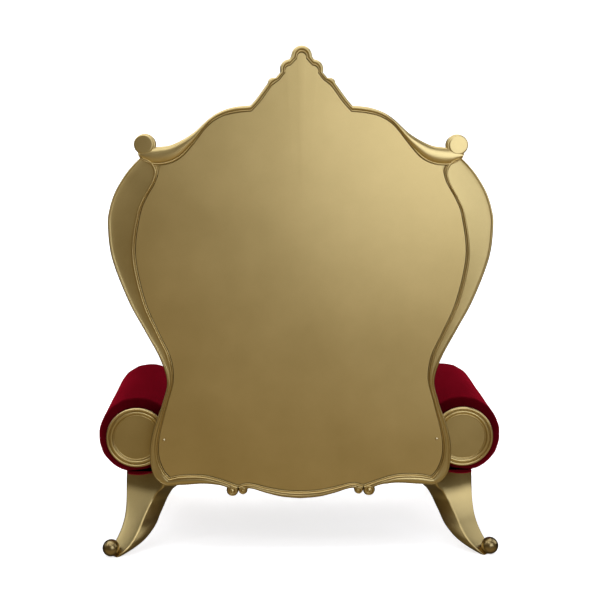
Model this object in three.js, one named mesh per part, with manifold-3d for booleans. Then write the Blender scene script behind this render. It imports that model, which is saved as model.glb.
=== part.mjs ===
// A gold-framed throne with a cartouche back, rolled velvet arms and sabre legs.
//
// Millimetres, +Z up. The sitter faces -Y, and +X is the sitter's left. The throne stands on the
// flat soles of its four toes at z = 0, and its box is centred on the Z axis.
import * as THREE from 'three';
import { mergeVertices } from 'three/addons/utils/BufferGeometryUtils.js';
import Module from 'manifold-3d';

const wasm = await Module();
wasm.setup();

// ---------------------------------------------------------------- driving dimensions

const GAP = 0.4; // clearance between pieces that touch

const BACK_RECLINE = THREE.MathUtils.degToRad(4.5);
const BACK_DATUM_Z = 270; // height of the back's own zero line
const FRAME_FRONT = 68; // depth of the frame's front face behind its rear datum
const RIM_DEPTH = 60; // depth at which the frame's front edge starts to round over
const RECESS_DEPTH = 14; // the panel is let into the frame this deep
const PANEL_FACE = 1; // the panel's rear face lies just inside the datum
const PAD_CROWN = 46; // how far the back pad swells past the frame

const ROLL_RADIUS = 138;
const ROLL_END_ROUND = 32;
const ROLL_REAR = new THREE.Vector3(555, -90, 370.5);
const ROLL_FRONT = new THREE.Vector3(587, -778, 406);
const DISC_RADIUS = 103;
const DISC_HEIGHT = 13;

const SEAT_BACK_Y = -78; // rear face of the seat box, just in front of the back
const SEAT_MIDDLE_Y = -425;
const SEAT_FRONT_Y = 2 * SEAT_MIDDLE_Y - SEAT_BACK_Y;
const RAIL_TOP = 232;
const RAIL_HEIGHT = 60;
const RAIL_THICKNESS = 54;
const RAIL_OUTER_X = 590;
const RAIL_SETBACK = 118; // the side rails end inside the legs, this far from the corners
const BACK_RAIL_HEIGHTS = [218, 288]; // set high, so that the back hides it
const BACK_RAIL_THICKNESS = 34;
const APRON_DIP = 30; // how far the front rail's lower edge hangs at its middle
const DECK_THICKNESS = 18;
const ARM_BASE_INNER_X = 437;
const ARM_BASE_TOP = 340;
const ARM_BASE_INSET = 10; // the base stops this far short of the roll's ends
const CUSHION_TOP = 404;

const LEG_TOP = RAIL_TOP + DECK_THICKNESS;
const LEG_TURN = THREE.MathUtils.degToRad(50); // the legs stand cornerwise to the seat
const BALL_RADIUS = 28;
const BALL_CENTRE = new THREE.Vector3(627, 36, BALL_RADIUS + GAP);

// ---------------------------------------------------------------- materials

function gilt(color = 0x94783a, roughness = 0.38) {
  return new THREE.MeshStandardMaterial({ color, roughness, metalness: 0.85 });
}

function velvet() {
  return new THREE.MeshStandardMaterial({ color: 0x6e0410, roughness: 0.95, metalness: 0 });
}

function board() {
  return new THREE.MeshStandardMaterial({ color: 0x3a2f24, roughness: 0.9, metalness: 0 });
}

// ---------------------------------------------------------------- solids

const point = (x, y) => new THREE.Vector2(x, y);
const toPoints = (pairs) => pairs.map(([x, y]) => point(x, y));

function signedVolume(geometry) {
  const at = geometry.attributes.position;
  const corner = [new THREE.Vector3(), new THREE.Vector3(), new THREE.Vector3()];
  let total = 0;
  for (let i = 0; i < geometry.index.count; i += 3) {
    corner.forEach((v, k) => v.fromBufferAttribute(at, geometry.index.getX(i + k)));
    total += corner[0].dot(corner[1].clone().cross(corner[2])) / 6;
  }
  return total;
}

// Position-only copy with shared vertices merged, no collapsed faces, and its faces outwards.
function tidy(geometry) {
  const bare = geometry.clone();
  bare.deleteAttribute('normal');
  bare.deleteAttribute('uv');
  const merged = mergeVertices(bare, 1e-3);
  const faces = [];
  for (let i = 0; i < merged.index.count; i += 3) {
    const [a, b, c] = [0, 1, 2].map((k) => merged.index.getX(i + k));
    if (a !== b && b !== c && c !== a) faces.push([a, b, c]);
  }
  merged.setIndex(faces.flat());
  if (signedVolume(merged) < 0) merged.setIndex(faces.flatMap(([a, b, c]) => [b, a, c]));
  return merged;
}

function toSolid(geometry) {
  const clean = tidy(geometry);
  return new wasm.Manifold(new wasm.Mesh({
    numProp: 3,
    vertProperties: new Float32Array(clean.attributes.position.array),
    triVerts: new Uint32Array(clean.index.array),
  }));
}

function toGeometry(solid) {
  const mesh = solid.getMesh();
  const geometry = new THREE.BufferGeometry();
  geometry.setAttribute('position', new THREE.BufferAttribute(mesh.vertProperties, 3));
  geometry.setIndex(new THREE.BufferAttribute(mesh.triVerts, 1));
  return geometry;
}

const join = (geometries) => toGeometry(
  geometries.map(toSolid).reduce((whole, next) => whole.add(next)),
);
const cut = (geometry, tools) => toGeometry(
  tools.map(toSolid).reduce((whole, tool) => whole.subtract(tool), toSolid(geometry)),
);
const mirrored = (geometry) => geometry.clone().scale(-1, 1, 1);

// Skin through rings of equally many corners; each end is closed by a fan about its middle.
function loft(rings) {
  const count = rings[0].length;
  const middle = (ring) => ring.reduce((sum, p) => sum.add(p), new THREE.Vector3())
    .divideScalar(ring.length);
  const vertices = [...rings.flat(), middle(rings[0]), middle(rings.at(-1))];
  const faces = [];
  for (let ring = 0; ring < rings.length - 1; ring += 1) {
    for (let k = 0; k < count; k += 1) {
      const a = ring * count + k;
      const b = ring * count + ((k + 1) % count);
      faces.push(a, b, b + count, a, b + count, a + count);
    }
  }
  const last = (rings.length - 1) * count;
  for (let k = 0; k < count; k += 1) {
    const next = (k + 1) % count;
    faces.push(vertices.length - 2, next, k);
    faces.push(vertices.length - 1, last + k, last + next);
  }
  const geometry = new THREE.BufferGeometry().setFromPoints(vertices);
  geometry.setIndex(faces);
  return tidy(geometry);
}

// Solid of revolution about local Z from (radius, height) corners.
function turned(profile, segments) {
  return tidy(new THREE.LatheGeometry(toPoints(profile), segments).rotateX(Math.PI / 2));
}

// Flat piece between two depths. Outline and hole are both given clockwise.
function plate(outline, from, to, hole = null) {
  const shape = new THREE.Shape(outline);
  if (hole) shape.holes.push(new THREE.Path([...hole].reverse()));
  const options = { depth: to - from, bevelEnabled: false, curveSegments: 1 };
  return tidy(new THREE.ExtrudeGeometry(shape, options).translate(0, 0, from));
}

function box(x, y, z) {
  const size = [x, y, z].map(([low, high]) => high - low);
  const centre = [x, y, z].map(([low, high]) => (low + high) / 2);
  return tidy(new THREE.BoxGeometry(...size).translate(...centre));
}

// ---------------------------------------------------------------- outline of the back
//
// The back is drawn in its own plane: x sideways, y up the slope, z the depth towards the sitter,
// with the rear datum at z = 0. Every band of moulding is a pair of lines, its outer and inner
// edge, given for the +X half.

function arc(x, y, radius, fromDegrees, toDegrees, steps) {
  return Array.from({ length: steps + 1 }, (_, i) => {
    const angle = THREE.MathUtils.degToRad(
      THREE.MathUtils.lerp(fromDegrees, toDegrees, i / steps),
    );
    return point(x + radius * Math.cos(angle), y + radius * Math.sin(angle));
  });
}

const spline = (pairs, steps) => new THREE.SplineCurve(toPoints(pairs)).getPoints(steps);

// Finial head, shoulder lobe, small lobe and straight slope down to the corner of the crest.
const finialOuter = [
  ...arc(0, 1352, 33, 90, 0, 4),
  ...arc(38, 1312, 30.5, 88, -18, 4),
  ...arc(90, 1269, 17, 115, 0, 3),
  ...toPoints([[142, 1222], [161, 1200]]),
];
const finialInner = [
  ...arc(0, 1350, 14, 90, -15, 4),
  ...arc(36, 1308, 16, 95, -20, 4),
  ...spline([[68, 1281], [89, 1265], [98, 1256]], 3),
  ...toPoints([[131, 1211], [158, 1182]]),
];
// S-curve that swells into the leaf of the volute.
const SWOOSH_STEPS = 10;
const swooshOuter = spline([
  [161, 1200], [212, 1195], [256, 1182], [294, 1162], [349, 1115], [409, 1082], [452, 1074],
  [486, 1070],
], SWOOSH_STEPS);
const swooshInner = spline([
  [158, 1182], [212, 1176], [255, 1164], [298, 1137], [350, 1078], [385, 1043], [422, 1025],
  [484, 1030],
], SWOOSH_STEPS);
const crestOuter = [...finialOuter, ...swooshOuter.slice(1)];
const crestInner = [...finialInner, ...swooshInner.slice(1)];

// Wing: broad at the shoulder, pinched at the waist, round at the lower corner.
const WING_STEPS = 24;
const wingOuter = spline([
  [508, 1046], [536, 1021], [567, 985], [597, 932], [615, 876], [621, 820], [609, 714],
  [560, 577], [508, 476], [462, 386], [440, 309], [456, 237], [494, 132], [503, 60],
  [494, -10], [456, -50],
], WING_STEPS);
const wingInner = spline([
  [490, 1044], [466, 1027], [457, 995], [472, 956], [502, 906], [523, 850], [539, 725],
  [509, 577], [464, 469], [429, 392], [420, 316], [440, 237], [471, 130], [476, 60],
  [462, 8], [442, -20],
], WING_STEPS);

// Bottom edge: a flat ogee from the corner to the scrolls, and a shallow bow between them.
const hemOuter = spline([[456, -50], [398, -50], [333, -45], [295, -47], [257, -55], [230, -67]], 6);
const hemInner = spline([[442, -20], [405, -14], [340, -14], [301, -21], [256, -36], [215, -54]], 6);
const bowOuter = spline([[200, -67], [173, -62], [109, -80], [58, -92], [0, -97]], 6);
const bowInner = spline([[208, -54], [179, -50], [109, -67], [57, -77], [0, -80]], 6);

const VOLUTE = { x: 501, y: 1078, radius: 33 };
const VOLUTE_FRONT = 44; // the volute is shallower than the frame
const SCROLLS = [{ x: 231, y: -65, radius: 21 }, { x: 194, y: -64, radius: 15 }];

const flip = (line) => line.map((p) => point(-p.x, p.y));
const bothHalves = (line) => [...flip(line).reverse(), ...line.slice(1)];

// Outline of the padded field of the back, as a radius about its middle.
const PAD_MIDDLE = point(0, 560);
const padOutline = (() => {
  const half = spline([
    [0, 1165], [150, 1130], [290, 1040], [400, 930], [465, 800], [462, 680], [415, 540],
    [372, 400], [366, 290], [392, 160], [396, 50], [350, 2], [175, 0], [0, 0],
  ], 20);
  return [...half, ...flip(half.slice(1, -1)).reverse()];
})();

// ---------------------------------------------------------------- mouldings of the back

// Closed section of a band of the given width, as (distance from the outer edge, depth).
// The front face repeats the rear one in a plainer form.
function frontCorners(width) {
  return [
    [width, RIM_DEPTH], [width * 0.5, FRAME_FRONT], [0, RIM_DEPTH],
  ];
}

// Crest: a half-round roll that flattens into a domed leaf as it widens.
function crestSection(width) {
  return [
    [0, 4], [width * 0.14, -4], [width * 0.45, -8], [width * 0.82, -6], [width, PANEL_FACE],
    ...frontCorners(width),
  ];
}

// Wing and bottom edge: a rounded outer edge, a flat face and a bead along the inner edge.
function wingSection(width) {
  const bead = Math.min(13, width * 0.55);
  return [
    [0, 7], [Math.min(8, width * 0.2), -1], [width - bead, -2], [width - bead * 0.75, -7],
    [width - bead * 0.25, -7], [width, PANEL_FACE],
    ...frontCorners(width),
  ];
}

function band(outer, inner, section) {
  return loft(outer.map((edge, i) => {
    const width = edge.distanceTo(inner[i]);
    return section(width).map(([across, depth]) => {
      const p = edge.clone().lerp(inner[i], across / width);
      return new THREE.Vector3(p.x, p.y, depth);
    });
  }));
}

// Round end of a scroll: a disc with a rolled rim.
function scrollEnd({ x, y, radius }, segments, front = FRAME_FRONT - 2) {
  return turned([
    [0, -9], [radius * 0.6, -9], [radius * 0.9, -5], [radius, 2], [radius, front - 6],
    [radius * 0.8, front], [0, front],
  ], segments).translate(x, y, 0);
}

function backFrame() {
  const wing = band(wingOuter, wingInner, wingSection);
  const hem = band(hemOuter, hemInner, wingSection);
  const volute = scrollEnd(VOLUTE, 16, VOLUTE_FRONT);
  const halves = [wing, hem, volute, ...SCROLLS.map((scroll) => scrollEnd(scroll, 10))];
  const middleOf = (outer, inner) => outer.map((p, i) => p.clone().lerp(inner[i], 0.6));
  const field = [
    ...middleOf(crestOuter, crestInner),
    ...middleOf(wingOuter, wingInner).slice(3),
    ...middleOf(hemOuter, hemInner).slice(1),
    ...middleOf(bowOuter, bowInner).slice(1),
  ];
  const fieldOutline = [...field, ...flip(field.slice(1, -1)).reverse()];
  const opening = padOutline.map((p) => p.clone().sub(PAD_MIDDLE).multiplyScalar(1.004).add(PAD_MIDDLE));
  return join([
    band(bothHalves(crestOuter), bothHalves(crestInner), crestSection),
    band(bothHalves([...bowOuter].reverse()), bothHalves([...bowInner].reverse()), wingSection),
    ...halves,
    ...halves.map(mirrored),
    plate(fieldOutline, RECESS_DEPTH, RIM_DEPTH, opening),
  ]);
}

// Outline of the panel: the frame's inner edge, drawn in by a little more than the clearance.
function panelOutline() {
  const half = [
    ...crestInner.filter((p) => p.x < 450),
    ...wingInner.filter((p, i) => i > 1 && p.y < 1010),
    ...hemInner.slice(1),
    ...bowInner,
  ];
  const loop = [...half, ...flip(half.slice(1, -1)).reverse()];
  return loop.map((p, i) => {
    const before = loop.at(i - 1);
    const after = loop[(i + 1) % loop.length];
    const along = after.clone().sub(before).normalize();
    return point(p.x + along.y * 1.6 * GAP, p.y - along.x * 1.6 * GAP);
  });
}

// Smooth board let into the back of the frame and notched round the scrolls.
function backPanel() {
  const notches = SCROLLS.map(({ x, y, radius }) => scrollEnd({ x, y, radius: radius + 2 * GAP }, 10));
  const sheet = plate(panelOutline(), PANEL_FACE, RECESS_DEPTH - GAP);
  return cut(sheet, [...notches, ...notches.map(mirrored)]);
}

// Crowned pad: flat behind, straight sides through the frame, a swell towards the sitter that
// fades out low down, where the seat cushion meets it.
function backPad() {
  const ring = (scale, depthOf) => padOutline.map((p) => {
    const q = p.clone().sub(PAD_MIDDLE).multiplyScalar(scale).add(PAD_MIDDLE);
    return new THREE.Vector3(q.x, q.y, depthOf(q));
  });
  const swell = (scale) => (q) => {
    const lift = THREE.MathUtils.smoothstep(q.y, 20, 260);
    return RIM_DEPTH + 4 + PAD_CROWN * (1 - scale ** 2.5) * lift;
  };
  const rear = RECESS_DEPTH + GAP;
  const scales = [0.96, 0.84, 0.62, 0.34];
  return loft([
    ring(0.98, () => rear),
    ring(0.998, () => rear + 8),
    ring(0.998, () => RIM_DEPTH),
    ...scales.map((scale) => ring(scale, swell(scale))),
  ]);
}

// ---------------------------------------------------------------- arms

const armAxis = ROLL_FRONT.clone().sub(ROLL_REAR).normalize();
const ROLL_LENGTH = ROLL_FRONT.distanceTo(ROLL_REAR);

// Turns a shape drawn along local Z into the line of the left arm.
function alongArm(geometry, start, axis) {
  const turn = new THREE.Quaternion().setFromUnitVectors(new THREE.Vector3(0, 0, 1), axis);
  return geometry.clone().applyQuaternion(turn).translate(start.x, start.y, start.z);
}

function rollProfile(radius) {
  const round = ROLL_END_ROUND;
  const shoulder = [0, 30, 60, 90].map((degrees) => {
    const angle = THREE.MathUtils.degToRad(degrees);
    return [radius - round + round * Math.sin(angle), round - round * Math.cos(angle)];
  });
  const far = shoulder.map(([r, along]) => [r, ROLL_LENGTH - along]).reverse();
  return [[0, 0], ...shoulder, ...far, [0, ROLL_LENGTH]];
}

const armRoll = (radius = ROLL_RADIUS) => alongArm(turned(rollProfile(radius), 24), ROLL_REAR, armAxis);

// Upholstered base, hollowed on top to cradle the roll.
function armBase() {
  const block = box(
    [ARM_BASE_INNER_X, RAIL_OUTER_X],
    [ROLL_FRONT.y + ARM_BASE_INSET, ROLL_REAR.y - ARM_BASE_INSET],
    [RAIL_TOP + GAP, ARM_BASE_TOP],
  );
  return cut(block, [armRoll(ROLL_RADIUS + GAP), ...legCutters.slice(0, 2)]);
}

// Turned disc: a rolled rim, a groove, a fine inner bead and a flat middle.
function armDisc(end, axis) {
  const r = DISC_RADIUS;
  const face = turned([
    [0, 0], [r, 0], [r, DISC_HEIGHT - 5], [r - 6, DISC_HEIGHT], [r - 14, DISC_HEIGHT - 4],
    [r - 18, DISC_HEIGHT - 6], [r - 24, DISC_HEIGHT - 4], [r - 28, DISC_HEIGHT - 7],
    [0, DISC_HEIGHT - 7],
  ], 20);
  return alongArm(face, end.clone().addScaledVector(axis, GAP), axis);
}

// ---------------------------------------------------------------- legs

// Level sections of the back left leg. "reach" is the distance of the outer face along the
// diagonal, "thick" its thickness along it, and "from" and "to" its sides across the diagonal.
const LEG_SECTIONS = [
  { z: LEG_TOP, reach: 239, thick: 75, from: -593, to: -403 },
  { z: 203, reach: 243, thick: 78, from: -591, to: -405 },
  { z: 176, reach: 249, thick: 79, from: -585, to: -426 },
  { z: 150, reach: 262, thick: 79, from: -571, to: -434 },
  { z: 125, reach: 283, thick: 79, from: -550, to: -432 },
  { z: 100, reach: 309, thick: 79, from: -527, to: -427 },
  { z: 78, reach: 336, thick: 78, from: -508, to: -416 },
  { z: 58, reach: 361, thick: 71, from: -495, to: -408 },
  { z: 40, reach: 384, thick: 60, from: -487, to: -405 },
  { z: 24, reach: 403, thick: 44, from: -480, to: -408 },
  { z: 10, reach: 415, thick: 28, from: -474, to: -412 },
  { z: 0, reach: 420, thick: 17, from: -469, to: -416 },
];
const diagonal = point(Math.cos(LEG_TURN), Math.sin(LEG_TURN));
const acrossDiagonal = point(-Math.sin(LEG_TURN), Math.cos(LEG_TURN));

const ball = (radius) => tidy(
  new THREE.SphereGeometry(radius, 12, 7).rotateX(Math.PI / 2)
    .translate(BALL_CENTRE.x, BALL_CENTRE.y, BALL_CENTRE.z),
);

// Sabre leg of rectangular section with eased corners. The margin grows every side, for cutting
// the neighbours back.
function legBlank(margin = 0) {
  const ease = 4;
  const rings = LEG_SECTIONS.map(({ z, reach, thick, from, to }) => {
    const [near, far] = [reach - thick - margin, reach + margin];
    const [low, high] = [from - margin, to + margin];
    const corners = [
      [near + ease, low], [far - ease, low], [far, low + ease], [far, high - ease],
      [far - ease, high], [near + ease, high], [near, high - ease], [near, low + ease],
    ];
    return corners.map(([s, t]) => {
      const p = diagonal.clone().multiplyScalar(s).addScaledVector(acrossDiagonal, t);
      return new THREE.Vector3(p.x, p.y, z);
    });
  });
  return loft(rings);
}

// The ball nests in the leg's toe, and the leg's top is coped to the roll above it.
const backLeg = () => cut(legBlank(), [ball(BALL_RADIUS + GAP), armRoll(ROLL_RADIUS + GAP)]);

const toFront = (geometry) => geometry.clone().scale(1, -1, 1).translate(0, 2 * SEAT_MIDDLE_Y, 0);

// ---------------------------------------------------------------- seat

const legCutters = (() => {
  const back = legBlank(GAP).translate(0, 0, GAP);
  const left = [back, toFront(back)];
  return [...left, ...left.map(mirrored)];
})();

function sideRail() {
  const bar = box(
    [RAIL_OUTER_X - RAIL_THICKNESS, RAIL_OUTER_X],
    [SEAT_FRONT_Y + RAIL_SETBACK, SEAT_BACK_Y - RAIL_SETBACK],
    [RAIL_TOP - RAIL_HEIGHT, RAIL_TOP],
  );
  return cut(bar, legCutters.slice(0, 2));
}

function backRail() {
  const half = ARM_BASE_INNER_X - 3;
  const bar = box([-half, half], [SEAT_BACK_Y - BACK_RAIL_THICKNESS, SEAT_BACK_Y], BACK_RAIL_HEIGHTS);
  return cut(bar, legCutters);
}

// Front rail with a bowed apron whose edge repeats the bottom edge of the back.
function frontRail() {
  const low = RAIL_TOP - RAIL_HEIGHT;
  const start = bowOuter[0].y;
  const bowDrop = start - bowOuter.at(-1).y;
  const apron = bowOuter.map((p) => point(p.x, low + ((p.y - start) * APRON_DIP) / bowDrop));
  const end = ARM_BASE_INNER_X + 13;
  const half = [point(0, RAIL_TOP), point(end, RAIL_TOP), point(end, low), point(215, low), ...apron];
  const outline = [...half, ...flip(half.slice(1, -1)).reverse()];
  const bar = plate(outline, 0, RAIL_THICKNESS).rotateX(Math.PI / 2)
    .translate(0, SEAT_FRONT_Y + RAIL_THICKNESS, 0);
  return cut(bar, legCutters);
}

// Board under the cushion, from the front rail's face to the back rail, notched round the legs.
function seatDeck() {
  const half = ARM_BASE_INNER_X - GAP;
  const board = box(
    [-half, half],
    [SEAT_FRONT_Y, SEAT_BACK_Y - BACK_RAIL_THICKNESS - GAP],
    [RAIL_TOP + GAP, RAIL_TOP + GAP + DECK_THICKNESS],
  );
  return cut(board, legCutters);
}

// Loose box cushion: bowed sides, rounded corners and a crowned top, a little wider in front.
function seatCushion() {
  const bottom = RAIL_TOP + 2 * GAP + DECK_THICKNESS;
  const height = CUSHION_TOP - bottom;
  const [front, back] = [SEAT_FRONT_Y - 6, SEAT_BACK_Y - BACK_RAIL_THICKNESS - 6];
  const halfDepth = (back - front) / 2;
  const ring = (scale, z) => Array.from({ length: 28 }, (_, i) => {
    const angle = (i / 28) * 2 * Math.PI;
    const round = (value) => Math.sign(value) * Math.abs(value) ** 0.22;
    const y = (front + back) / 2 + halfDepth * scale * round(Math.sin(angle));
    const halfWidth = THREE.MathUtils.mapLinear(y, back, front, 410, 428);
    return new THREE.Vector3(halfWidth * scale * round(Math.cos(angle)), y, z);
  });
  return loft([
    ring(0.975, bottom), ring(1, bottom + height * 0.16), ring(1, bottom + height * 0.6),
    ring(0.985, bottom + height * 0.78), ring(0.9, bottom + height * 0.91),
    ring(0.6, bottom + height * 0.98), ring(0.3, CUSHION_TOP),
  ]);
}

// ---------------------------------------------------------------- assembly

function named(name, geometry, material) {
  const mesh = new THREE.Mesh(geometry, material);
  mesh.name = name;
  return mesh;
}

function backGroup() {
  const group = new THREE.Group();
  group.position.z = BACK_DATUM_Z;
  group.rotation.x = Math.PI / 2 - BACK_RECLINE;
  const screw = turned([[0, -3], [3.5, -2.2], [5.5, 0], [5.5, PANEL_FACE - GAP], [0, PANEL_FACE - GAP]], 8);
  group.add(
    named('back_frame', backFrame(), gilt()),
    named('back_panel', backPanel(), gilt(0x8f7436)),
    named('panel_screw_left', screw.clone().translate(452, 112, 0), gilt(0xd8cfae, 0.3)),
    named('panel_screw_right', screw.clone().translate(-452, 112, 0), gilt(0xd8cfae, 0.3)),
    named('back_cushion', backPad(), velvet()),
  );
  return group;
}

// The left-hand pieces; the right-hand ones are their mirror images.
function sidePieces() {
  const rearward = armAxis.clone().negate();
  const leg = backLeg();
  return [
    ['arm_roll', armRoll(), velvet],
    ['arm_base', armBase(), velvet],
    ['arm_disc_back', armDisc(ROLL_REAR, rearward), gilt],
    ['arm_disc_front', armDisc(ROLL_FRONT, armAxis), gilt],
    ['rail', sideRail(), gilt],
    ['leg_back', leg, gilt],
    ['leg_front', toFront(leg), gilt],
    ['toe_ball_back', ball(BALL_RADIUS), () => gilt(0x7d6431, 0.22)],
    ['toe_ball_front', toFront(ball(BALL_RADIUS)), () => gilt(0x7d6431, 0.22)],
  ];
}

const throne = new THREE.Group();
throne.add(backGroup());
for (const [name, geometry, material] of sidePieces()) {
  throne.add(named(`${name}_left`, tidy(geometry), material()));
  throne.add(named(`${name}_right`, tidy(mirrored(geometry)), material()));
}
throne.add(
  named('rail_back', backRail(), gilt()),
  named('rail_front', frontRail(), gilt()),
  named('seat_deck', seatDeck(), board()),
  named('seat_cushion', seatCushion(), velvet()),
);

const extent = new THREE.Box3().setFromObject(throne);
throne.position.y = -(extent.min.y + extent.max.y) / 2;

export default throne;
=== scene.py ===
"""Throne with a gilt cartouche back, rolled velvet arms and four sabre legs on ball toes.

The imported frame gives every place. The back is drawn in its own leaning plane as (across, up,
depth), with depth 0 at the rear datum and growing towards the sitter. All sizes are in metres.
"""
import math
from collections import namedtuple

import bpy
import numpy as np
from mathutils import Matrix, Vector
from mathutils.bvhtree import BVHTree


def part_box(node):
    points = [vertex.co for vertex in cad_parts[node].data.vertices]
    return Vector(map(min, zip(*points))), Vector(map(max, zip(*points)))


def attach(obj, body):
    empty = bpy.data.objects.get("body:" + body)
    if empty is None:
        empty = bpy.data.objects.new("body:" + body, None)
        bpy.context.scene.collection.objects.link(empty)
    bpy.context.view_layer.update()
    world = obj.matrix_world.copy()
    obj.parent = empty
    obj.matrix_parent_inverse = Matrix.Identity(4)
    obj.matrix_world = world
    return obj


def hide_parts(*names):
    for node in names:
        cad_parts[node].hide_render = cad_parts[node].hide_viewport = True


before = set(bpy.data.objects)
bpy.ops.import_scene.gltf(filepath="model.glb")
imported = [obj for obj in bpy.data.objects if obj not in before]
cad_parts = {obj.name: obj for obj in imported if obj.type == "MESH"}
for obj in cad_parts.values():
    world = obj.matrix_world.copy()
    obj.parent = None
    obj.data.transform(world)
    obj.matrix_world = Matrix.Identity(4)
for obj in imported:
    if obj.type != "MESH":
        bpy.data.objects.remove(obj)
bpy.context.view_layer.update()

# ---------------------------------------------------------------- places taken from the frame


def middle_of(node):
    """Centre of a node's box."""
    low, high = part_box(node)
    return np.array((low + high) / 2)


BALL_CENTRE = middle_of("toe_ball_back_left")
BALL_RADIUS = float(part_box("toe_ball_back_left")[1].z - BALL_CENTRE[2])
SETBACK = BALL_CENTRE[1] - 0.036  # where the back's datum line crosses the floor's Y axis
SEAT_MIDDLE_Y = SETBACK - 0.425
DISC_REAR = middle_of("arm_disc_back_left")
DISC_FRONT = middle_of("arm_disc_front_left")
RAIL_LOW, RAIL_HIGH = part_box("rail_left")
FRONT_RAIL_LOW, FRONT_RAIL_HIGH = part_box("rail_front")
BASE_LOW, BASE_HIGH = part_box("arm_base_left")
CUSHION_LOW, CUSHION_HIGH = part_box("seat_cushion")

# ---------------------------------------------------------------- driving sizes

BACK_RECLINE = math.radians(4.5)
BACK_DATUM_Z = 0.270
FRAME_FRONT = 0.068  # depth of the frame's front mouldings
RIM_DEPTH = 0.060
RECESS_DEPTH = 0.014  # the panel is let in this deep
PANEL_FACE = 0.001
PAD_CROWN = 0.046
PANEL_EASE = 0.0006  # the board stands this far proud of the seam round it
MOULDING_CREASE = math.radians(38)  # edges sharper than this stay sharp
BLOCK_CREASE = math.radians(50)

ROLL_RADIUS = 0.138
ROLL_END_ROUND = 0.032
DISC_RADIUS = 0.103
DISC_HEIGHT = 0.013
DISC_GAP = 0.0004  # between a disc and the roll's end
ROLL_CLEARANCE = 0.0006  # between the roll and what it lies on
ROLL_SLACK = 0.007  # the roll's cover starts this much smaller, and swells by as much
FAR_UP = 9.0  # a height that never limits anything

LEG_TURN = math.radians(50)
LEG_TOP = 0.250

# Camera and studio
VIEW_DISTANCE = 3.40
VIEW_HEIGHT = 1.09
VIEW_AZIMUTH = math.radians(1.215)
VIEW_PITCH = math.radians(4.14)
VIEW_AIM_X = 0.003
FOCAL_LENGTH = 62.2  # millimetres, like the sensor's width
SENSOR_WIDTH = 36.0

# ---------------------------------------------------------------- curves


def arc(x, y, radius, start, end, count):
    """Points on a circle from one angle to another, in degrees: centre plus radius times
    (cosine, sine)."""
    angle = np.radians(np.linspace(start, end, count))
    return np.stack([x + radius * np.cos(angle), y + radius * np.sin(angle)], axis=1)


def spline(knots, count):
    """Uniform Catmull-Rom curve: between two knots, a cubic whose slope at each is half the
    chord between its neighbours. The end knots are used twice."""
    knots = np.asarray(knots, float)
    last = len(knots) - 1
    place = np.linspace(0, last, count)
    left = np.minimum(place.astype(int), last - 1)
    t = (place - left)[:, None]
    before, after = knots[np.maximum(left - 1, 0)], knots[np.minimum(left + 2, last)]
    start, end = knots[left], knots[left + 1]
    rise, fall = (end - before) / 2, (after - start) / 2
    return (
        (2 * start - 2 * end + rise + fall) * t**3
        + (3 * end - 3 * start - 2 * rise - fall) * t**2
        + rise * t
        + start
    )


def both_halves(line):
    """The +X half of a line that starts on the centre line, joined to its mirror image."""
    return np.concatenate([(line * (-1, 1))[:0:-1], line])


def smooth_step(value, low, high):
    """0 below low and 1 above high, with a cubic between."""
    t = np.clip((value - low) / (high - low), 0, 1)
    return t * t * (3 - 2 * t)


# ---------------------------------------------------------------- skins

# A closed shell: its points, its faces of four and of three corners, and one number per point: the shade
# number, from which the gilt paints shade and highlight into its colour.
Shell = namedtuple("Shell", "points quads fans numbers")


def skin(grid, wrap_rows=False, shade=None):
    """Closed shell over a grid of points (rows, columns, 3): quads join each point to the next in
    its row and column, and every row closes on itself. Unless the rows close on each other too,
    a fan about its middle closes each end row."""
    rows, columns = grid.shape[:2]
    index = np.arange(rows * columns).reshape(rows, columns)
    here = index if wrap_rows else index[:-1]
    down = np.roll(index, -1, axis=0) if wrap_rows else index[1:]
    quads = np.stack([here, np.roll(here, -1, axis=1), np.roll(down, -1, axis=1), down], axis=-1)
    points = grid.reshape(-1, 3)
    numbers = np.broadcast_to(0.0 if shade is None else shade, (rows, columns)).ravel()
    fans = np.zeros((0, 3), int)
    if not wrap_rows:
        rims = np.stack([index[0, ::-1], index[-1]])
        hubs = np.broadcast_to(len(points) + np.arange(2)[:, None], rims.shape)
        fans = np.stack([hubs, rims, np.roll(rims, -1, axis=1)], axis=-1).reshape(-1, 3)
        points = np.concatenate([points, grid[[0, -1]].mean(axis=1)])
        numbers = np.concatenate([numbers, numbers[[0, -1]]])
    shell = Shell(points, quads.reshape(-1, 4), fans, numbers)
    return turned_over(shell) if six_volumes(shell) < 0 else shell


def six_volumes(shell):
    """Six times the signed volume: the triple product of the corners of every triangle, a quad
    being two of them."""
    a, b, c, d = (shell.points[shell.quads[:, k]] for k in range(4))
    e, f, g = (shell.points[shell.fans[:, k]] for k in range(3))
    return np.sum(a * np.cross(b, c)) + np.sum(a * np.cross(c, d)) + np.sum(e * np.cross(f, g))


def turned_over(shell):
    """The same shell with its faces pointing the other way."""
    return shell._replace(quads=shell.quads[:, ::-1], fans=shell.fans[:, ::-1])


def mirrored(shell):
    """The shell's mirror image on the other side, its faces turned back outwards."""
    return turned_over(shell._replace(points=shell.points * (-1, 1, 1)))


def to_front(shell):
    """A back piece moved to the front corner by mirroring it about the seat's middle."""
    points = shell.points * (1, -1, 1) + (0, 2 * SEAT_MIDDLE_Y, 0)
    return turned_over(shell._replace(points=points))


def unchanged(shell):
    """The shell itself, for the side or end that it was made for."""
    return shell


SIDES = (("left", unchanged), ("right", mirrored))


def mesh_of(name, shells):
    """One mesh over closed shells, their faces numbered on from shell to shell."""
    starts = np.cumsum([0, *(len(shell.points) for shell in shells)])
    faces = []
    for shell, start in zip(shells, starts):
        faces += (shell.quads + start).tolist() + (shell.fans + start).tolist()
    mesh = bpy.data.meshes.new(name)
    mesh.from_pydata(np.concatenate([shell.points for shell in shells]).tolist(), [], faces)
    return mesh


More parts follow.
